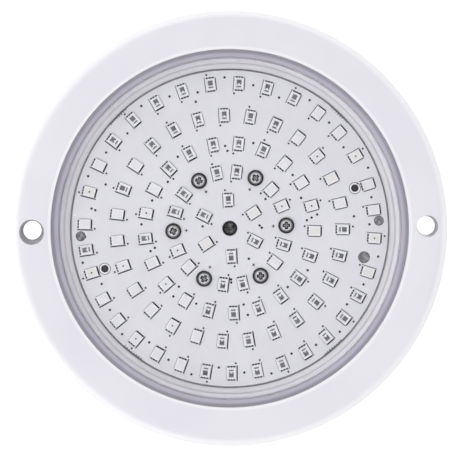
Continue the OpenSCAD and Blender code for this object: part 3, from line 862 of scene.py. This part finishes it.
def led_places(node):
    """Radius and angle of each LED in a ring, read from the CAD node's separate solids."""
    mesh = bpy.data.objects[node].data
    bm = bmesh.new()
    bm.from_mesh(mesh)
    bmesh.ops.remove_doubles(bm, verts=bm.verts, dist=1e-6)
    left = set(bm.verts)
    places = []
    while left:
        todo, island = [left.pop()], []
        while todo:
            v = todo.pop()
            island.append(v.co.copy())
            for e in v.link_edges:
                other = e.other_vert(v)
                if other in left:
                    left.remove(other)
                    todo.append(other)
        low = Vector([min(c[k] for c in island) for k in range(3)])
        high = Vector([max(c[k] for c in island) for k in range(3)])
        middle = (low + high) / 2 / MM
        deg = math.degrees(math.atan2(middle.y, middle.x)) % 360
        places.append((math.hypot(middle.x, middle.y), deg))
    bm.free()
    return sorted(places, key=lambda p: p[1])


# LEDs with a milky filling, counted round each ring from +X; the rest are clear
MILKY = [
    {0, 3},
    {0, 1, 6, 7, 10},
    {0, 1, 2, 8, 9, 11, 12, 13, 20},
    {0, 1, 2, 3, 10, 12, 13, 14, 15, 16, 17, 18},
    {0, 1, 2, 3, 4, 13, 14, 15, 17, 18, 19, 20, 21, 22, 31, 32},
]
# Milky LEDs whose filling is slightly ivory
IVORY = [{0, 3}, set(), {20}, {1}, {2, 14, 17, 31, 32}]
# Every third LED is of the other kind: this is the first one on each ring
OTHER_FIRST = [1, 0, 0, 2, 2]


LED_POCKET = (1.06, 1.42, 0.35)  # half width, half length and corner radius
POCKET_FLOOR = 0.4
# Places of the LEDs' other materials in their list
FRAME_SLOT, MILKY_SLOT, IVORY_SLOT, DULL_SLOT, DARK_SLOT = 1, 2, 3, 4, 5


def led_frame_at(r, deg):
    """Frame on the board at an LED: x runs clockwise, y runs outwards."""
    a = math.radians(deg)
    out = Vector((math.cos(a), math.sin(a), 0))
    clockwise = Vector((math.sin(a), -math.cos(a), 0))
    place = Matrix((clockwise, out, Vector((0, 0, 1)))).transposed().to_4x4()
    place.translation = out * r + Vector((0, 0, BOARD_TOP))
    return place


def add_led_body(bm, place):
    """White body with a rounded, sloping pocket."""
    outer_low = rectangle(1.4, 1.75, 0.1)
    outer_top = [p * 0.97 for p in outer_low]
    lip = rectangle(*LED_POCKET)
    floor = [p * 0.88 for p in lip]
    loops = []
    for outline, z in ((outer_low, 0.02), (outer_low, LED_H - 0.08), (outer_top, LED_H - 0.005),
                       (lip, LED_H - 0.005), (floor, POCKET_FLOOR)):
        loops.append([bm.verts.new(place @ Vector((p[0], p[1], z))) for p in outline])
    for a, b in zip(loops, loops[1:]):
        for i in range(len(a)):
            j = (i + 1) % len(a)
            bm.faces.new([a[i], a[j], b[j], b[i]])
    bm.faces.new(loops[-1])
    bm.faces.new(list(reversed(loops[0])))


def add_led(bm, place, milky, ivory, other):
    add_led_body(bm, place)
    if milky:
        filling = [p * 0.99 for p in rectangle(*LED_POCKET)]
        add_prism(bm, filling, POCKET_FLOOR + 0.01, LED_H - 0.03, place, IVORY_SLOT if ivory else MILKY_SLOT)
        if other:
            add_prism(bm, circle(0.25, 12), LED_H - 0.04, LED_H - 0.02, place, DARK_SLOT)
    else:
        half_w = 0.7
        low, high = POCKET_FLOOR + 0.01, POCKET_FLOOR + 0.04
        notched = [(-half_w, -0.3), (-0.25, -0.3), (-0.25, 0.05), (0.25, 0.05), (0.25, -0.3), (half_w, -0.3),
                   (half_w, 1.15), (-half_w, 1.15)]
        plain = [(-half_w, -0.3), (half_w, -0.3), (half_w, 1.15), (-half_w, 1.15)]
        bar = [(-half_w, -1.08), (half_w, -1.08), (half_w, -0.66), (-half_w, -0.66)]
        add_prism(bm, plain if other else notched, low, high, place, FRAME_SLOT)
        add_prism(bm, bar, low, high, place, FRAME_SLOT)
    for side in (-1, 1):
        add_solder(bm, place, side)


def add_fillet(bm, place, side, x_in, x_out, y_in, slot):
    """Solder that is high at the package and thins out to its edge."""
    y_out = 2.2
    corners = [(x_in, side * y_in), (x_out, side * y_in), (x_out, side * y_out), (x_in, side * y_out)]
    low = [bm.verts.new(place @ Vector((x, y, 0.0))) for x, y in corners]
    high = [bm.verts.new(place @ Vector((x, y, 0.26 if abs(y) < 2 else 0.04))) for x, y in corners]
    faces = [bm.faces.new(low), bm.faces.new(high)]
    for i in range(4):
        j = (i + 1) % 4
        faces.append(bm.faces.new([low[i], low[j], high[j], high[i]]))
    for f in faces:
        f.material_index = slot


def add_solder(bm, place, side):
    """Solder at one end of an LED: a black bar of painted shadow where it faces +X, else dull with dark
    dashes.
    """
    facing = place.to_3x3() @ Vector((0, side, 0))
    # painted shadow on the ends that face +X
    if facing.x > 0.4:
        add_fillet(bm, place, side, -1.38, 1.38, 1.74, DARK_SLOT)
        return
    add_fillet(bm, place, side, -1.28, 1.28, 2.09, DULL_SLOT)
    for x in (-0.86, 0, 0.86):
        add_fillet(bm, place, side, x - 0.3, x + 0.3, 1.77, DARK_SLOT)


def led_rings():
    """One piece for each ring of LEDs."""
    materials = [MATERIALS["led_body"], LEAD_FRAME, MILKY_RESIN, IVORY_RESIN, DULL_SOLDER, DARK_SOLDER_AND_SHADOW]
    rings = []
    for ring in range(5):
        node = f"leds_ring_{ring + 1}"
        places = led_places(node)
        rings.append(places)
        bm = bmesh.new()
        for i, (r, deg) in enumerate(places):
            other = i % 3 == OTHER_FIRST[ring]
            add_led(bm, led_frame_at(r, deg), i in MILKY[ring], i in IVORY[ring], other)
        obj = finish_mesh(f"led_packages_{ring + 1}", bm, 25)
        piece(obj, "led_body", node, materials=materials)
    return rings


# Test points on the board, as (radius, angle)
TEST_POINTS = [
    (37.5, 4.8), (13.9, 38.6), (15.4, 270.7), (16.3, 270.7), (10.8, 301.3), (8.2, 175.3),
    (9.6, 0.3), (9.0, 4.8), (39.4, 104.3), (39.6, 159.8), (40.8, 171.6),
]
# Test points in each gap between the LEDs of the third ring: i, m or o stands for one on
# the inner, middle or outer track
GAP_POINTS = ["imo", "i", "m", "", "o", "im", "", "o", "i", "m", "o",
              "im", "", "io", "m", "", "io", "", "m", "o", ""]
TRACKS = {"i": 23.3, "m": 24.8, "o": 26.6}
# Middles of the rows of burrs at the board's edge, as if it was snapped out of a panel
SNAP_ROWS = [45.3, 134.3, 231.3, 310.3]


def board_legend_and_shadows(rings):
    """Printed lines beside the LEDs, widened by painted shadow on their lower right, their polarity dots, the
    marks by the screws, and a painted shadow ring round the centre hole.
    """
    bm = bmesh.new()
    for ring, places in enumerate(rings):
        for i, (r, deg) in enumerate(places):
            place = led_frame_at(r, deg)
            # the printed line on the lower right of its LED is the heavier one: the extra width is painted
            # shadow
            to_lower_right = (place.to_3x3() @ Vector((1, 0, 0))).dot(Vector((0.45, -0.89, 0)))
            left_w = 0.34 if to_lower_right < -0.3 else 0.19
            right_w = 0.24 if to_lower_right > 0.3 else 0.08
            left_x, right_x = -1.58, 1.5
            add_box(bm, (left_x - left_w, -2.4, 0), (left_x, 2.3, INK_H), place)
            add_box(bm, (right_x, -1.9, 0), (right_x + right_w, 1.9, INK_H), place)
            dot = (-0.9, 3.0) if i % 3 == OTHER_FIRST[ring] else (-1.35, -3.0)
            add_prism(bm, circle(0.31, 16, dot), 0, INK_H, place)
    tick, stroke = 0.5, 0.12
    for r, deg in BOARD_SCREWS:
        place = led_frame_at(r - 3.9, deg)
        add_box(bm, (-tick, -stroke, 0), (tick, stroke, INK_H), place)
        add_box(bm, (-stroke, -tick, 0), (stroke, tick, INK_H), place)
    for r, deg in LEAD_HOLES:
        place = led_frame_at(r, deg)
        add_ring(bm, 0.99, 1.13, 0, INK_H, place)
        add_ring(bm, 1.61, 1.78, 0, INK_H, place)
    # painted shadow: a black ring round the board's centre hole
    add_ring(bm, 2.21, 2.3, 0, INK_H, Matrix.Translation((0, 0, BOARD_TOP)))
    piece(finish_mesh("board_legend_and_shadows", bm), "black_epoxy", materials=[INK_AND_PAINTED_SHADOW])


def board_pads(rings):
    """Dark test points, and the rows of burrs at the board's edge."""
    bm = bmesh.new()
    dots = []
    outer = [deg for _, deg in rings[4]]
    radii = [42.0, 43.6, 45.4]
    for i, deg in enumerate(outer):
        after = outer[(i + 1) % len(outer)] + (360 if i + 1 == len(outer) else 0)
        dots.append((radii[(i + 1) % 3], (deg + after) / 2))
    third = [deg for _, deg in rings[2]]
    for i, tracks in enumerate(GAP_POINTS):
        middle = third[i] - 360 / len(third) / 2
        for k, track in enumerate(tracks):
            dots.append((TRACKS[track], middle + (k - 0.5) * 1.5))
    for r, deg in dots + TEST_POINTS:
        add_prism(bm, circle(0.38, 16), 0, INK_H, led_frame_at(r, deg))
    burrs, pitch = 8, 1.05
    for middle in SNAP_ROWS:
        for k in range(burrs):
            place = led_frame_at(BOARD_R - 0.5, middle + (k - (burrs - 1) / 2) * pitch)
            shift = 0.12 * math.sin(7.3 * k + middle)
            add_box(bm, (-0.17, -0.05 + shift, 0), (0.17, 0.46, INK_H), place)
    piece(finish_mesh("board_test_points", bm), "solder", materials=[INK_AND_PAINTED_SHADOW])


def board_edge():
    """Painted shadow of the gap round the board: a dark ring on the board's top at its edge."""
    bm = bmesh.new()
    on_board = Matrix.Translation((0, 0, BOARD_TOP))
    add_ring(bm, BOARD_R - 0.23, BOARD_R - 0.02, 0, INK_H / 2, on_board, TURN)
    piece(finish_mesh("board_edge", bm), "white_solder_mask", materials=[PAINTED_SHADE_GREY])


def lead_hole_rings():
    """White rings round the lead holes, and a small white square near the edge."""
    bm = bmesh.new()
    for r, deg in LEAD_HOLES:
        add_ring(bm, 1.13, 1.5, 0, 0.03, led_frame_at(r, deg))
    add_box(bm, (-0.4, -0.4, 0), (0.4, 0.4, 0.03), led_frame_at(46.7, 174.3))
    piece(finish_mesh("lead_hole_rings", bm), "led_body")


# ---------------------------------------------------------------- studio

def area_light(name, place, size, power):
    data = bpy.data.lights.new(name, "AREA")
    data.shape = "DISK"
    data.size = size
    data.energy = power
    obj = bpy.data.objects.new(name, data)
    obj.location = place
    obj.rotation_euler = (-Vector(place)).to_track_quat("-Z", "Y").to_euler()
    bpy.context.scene.collection.objects.link(obj)


def studio():
    scene = bpy.context.scene
    scene.view_settings.view_transform = "Standard"
    scene.view_settings.look = "None"
    world = bpy.data.worlds.new("studio")
    scene.world = world
    world.use_nodes = True
    tree = world.node_tree
    sky = tree.nodes["Background"]
    direction = tree.nodes.new("ShaderNodeSeparateXYZ")
    tree.links.new(tree.nodes.new("ShaderNodeTexCoord").outputs["Generated"], direction.inputs[0])
    height = tree.nodes.new("ShaderNodeValToRGB")
    tree.links.new(direction.outputs["Z"], height.inputs[0])
    height.color_ramp.elements[0].color = (1.0, 1.0, 1.02, 1)
    height.color_ramp.elements[0].position = 0.2
    height.color_ramp.elements[1].position = 0.97
    height.color_ramp.elements[1].color = (0.42, 0.42, 0.43, 1)
    # a dark patch straight above keeps the window free of haze
    overhead = height.color_ramp.elements.new(0.99)
    overhead.color = (0.05, 0.05, 0.052, 1)
    middle = height.color_ramp.elements.new(0.6)
    middle.color = (0.6, 0.6, 0.615, 1)
    tree.links.new(height.outputs[0], sky.inputs["Color"])
    # the two softboxes on the left are the stronger ones
    for k, power in enumerate((1.2, 2.7, 2.7, 1.2)):
        a = math.radians(45 + 90 * k)
        area_light(f"softbox_{k}", (0.75 * math.cos(a), 0.75 * math.sin(a), 0.85), 0.7, power)

    bm = bmesh.new()
    half = 3.0 / MM
    add_prism(bm, rectangle(half, half, 50, 4), CUP_BOTTOM - 20, CUP_BOTTOM - 0.02)
    floor = finish_mesh("studio_floor", bm)
    n = Nodes("studio_floor")
    n.set(Base_Color=(0.8, 0.8, 0.8, 1), Roughness=0.8)
    # the backdrop is lit on its own: it shows white, but throws no extra light on the housing
    seen = n.add("ShaderNodeMath", Value=n.add("ShaderNodeLightPath").outputs["Is Camera Ray"])
    seen.operation = "MULTIPLY"
    seen.inputs[1].default_value = 0.5
    n.set(Emission_Color=(1, 1, 1, 1), Emission_Strength=seen.outputs[0])
    floor.data.materials.append(n.mat)


def camera():
    """Straight down on the lens, turned a little so that the screw holes tilt."""
    distance = 1.5
    frame_width = 136.7 * MM
    data = bpy.data.cameras.new("camera")
    data.sensor_width = 36
    data.lens = 36 * distance / frame_width
    data.clip_start = 0.01
    obj = bpy.data.objects.new("camera", data)
    obj.location = (-0.24 * MM, -0.2 * MM, FLANGE_TOP * MM + distance)
    obj.rotation_euler = (0, 0, math.radians(-0.73))
    bpy.context.scene.collection.objects.link(obj)
    bpy.context.scene.camera = obj


camera()
studio()
dress_cad_nodes()
face_ring()
rear_cup()
lens_cover()
cross_head("board_screw_heads", BOARD_SCREWS, 2.42, 1.5, 1.45, 1.25, 4.8, BOARD_TOP, False, "board_screws")
cross_head("clamp_screw_heads", CLAMP_SCREWS, 2.75, 1.5, 1.8, 1.5, 5.2, 1.7, True, "clamp_screws")
gland()
centre_plug()
led_ring_places = led_rings()
board_legend_and_shadows(led_ring_places)
board_pads(led_ring_places)
lead_hole_rings()
board_edge()
locating_pins()
tool_hole_wall()
rim_marks()
